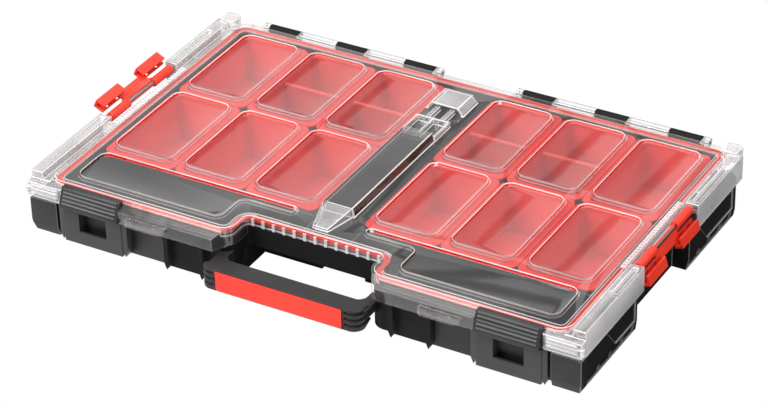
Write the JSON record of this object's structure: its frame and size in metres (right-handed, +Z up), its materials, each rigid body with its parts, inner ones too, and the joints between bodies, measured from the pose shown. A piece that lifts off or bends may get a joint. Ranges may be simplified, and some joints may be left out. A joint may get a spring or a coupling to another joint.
{
  "type": "organizer box",
  "caption": "Wide flat parts organizer with a clear hinged lid, removable red bins, front trays, a carry handle, two front latches and side stacking clips.",
  "frame": {"origin": "on the flat underside of the base, at x = y = 0 on its plane of symmetry", "axes": "+X to the right seen from the front, +Y from the handle to the hinges, +Z up"},
  "size_m": [0.5907, 0.3875, 0.0728],
  "materials": {
    "black_base": "black polypropylene, fine moulded texture, satin",
    "black_handle": "black polypropylene, fine moulded texture, satin",
    "black_latch": "black plastic, satin",
    "clear_lid": "clear polycarbonate, glossy, slightly milky",
    "red_gasket": "soft red sealing rubber",
    "red_bin": "red polypropylene, half gloss",
    "red_divider": "red polypropylene, half gloss",
    "red_clip": "bright red plastic, half gloss",
    "red_inlay": "bright red plastic, satin",
    "steel_pin": "drawn steel wire"
  },
  "bodies": {
    "base": {"base_tub": "black_base", "base_floor": "black_base", "sealing_rim": "black_base", "front_panel_left": "black_base", "front_panel_right": "black_base", "front_foot_left": "black_base", "front_foot_right": "black_base", "rear_foot_left": "black_base", "rear_foot_right": "black_base", "tray_wall_left": "black_base", "tray_wall_right": "black_base", "bay_wall_left": "black_base", "bay_wall_right": "black_base", "carry_handle": "black_handle", "handle_inlay": "red_inlay", "latch_frame_left": "black_latch", "latch_frame_right": "black_latch", "latch_pin_left": "steel_pin", "latch_pin_right": "steel_pin", "bin_left_front_1": "red_bin", "bin_left_front_2": "red_bin", "bin_left_front_3": "red_bin", "bin_left_back_1": "red_bin", "bin_left_back_2": "red_bin", "bin_left_back_3": "red_bin", "bin_right_front_1": "red_bin", "bin_right_front_2": "red_bin", "bin_right_front_3": "red_bin", "bin_right_back_1": "red_bin", "bin_right_back_2": "red_bin", "bin_right_back_3": "red_bin", "divider_left_back_2": "red_divider", "divider_left_back_3": "red_divider", "divider_right_back_1": "red_divider", "divider_right_back_2": "red_divider"},
    "lid": {"lid_cover": "clear_lid", "lid_ridge": "clear_lid", "lid_hood": "clear_lid", "lid_front_left": "clear_lid", "lid_front_right": "clear_lid", "lid_rail_left": "clear_lid", "lid_rail_right": "clear_lid", "lid_gasket": "red_gasket", "hinge_pin_left": "steel_pin", "hinge_pin_right": "steel_pin", "clip_pin_left": "steel_pin", "clip_pin_right": "steel_pin"},
    "latch_left": {"latch_lever_left": "black_latch"},
    "latch_right": {"latch_lever_right": "black_latch"},
    "clip_left": {"side_clip_left": "red_clip"},
    "clip_right": {"side_clip_right": "red_clip"}
  },
  "joints": [
    {"name": "lid_hinge", "type": "hinge", "parent": "base", "child": "lid", "pos_m": [0, 0.1755, 0.0525], "axis": [-1, 0, 0], "range_deg": [0, 105]},
    {"name": "latch_left_hinge", "type": "hinge", "parent": "base", "child": "latch_left", "pos_m": [-0.217, -0.177, 0.0352], "axis": [1, 0, 0], "range_deg": [0, 88]},
    {"name": "latch_right_hinge", "type": "hinge", "parent": "base", "child": "latch_right", "pos_m": [0.217, -0.177, 0.0352], "axis": [1, 0, 0], "range_deg": [0, 88]},
    {"name": "clip_left_hinge", "type": "hinge", "parent": "lid", "child": "clip_left", "pos_m": [-0.28, 0, 0.0575], "axis": [0, 1, 0], "range_deg": [-101, 54]},
    {"name": "clip_right_hinge", "type": "hinge", "parent": "lid", "child": "clip_right", "pos_m": [0.28, 0, 0.0575], "axis": [0, -1, 0], "range_deg": [0, 155]}
  ]
}
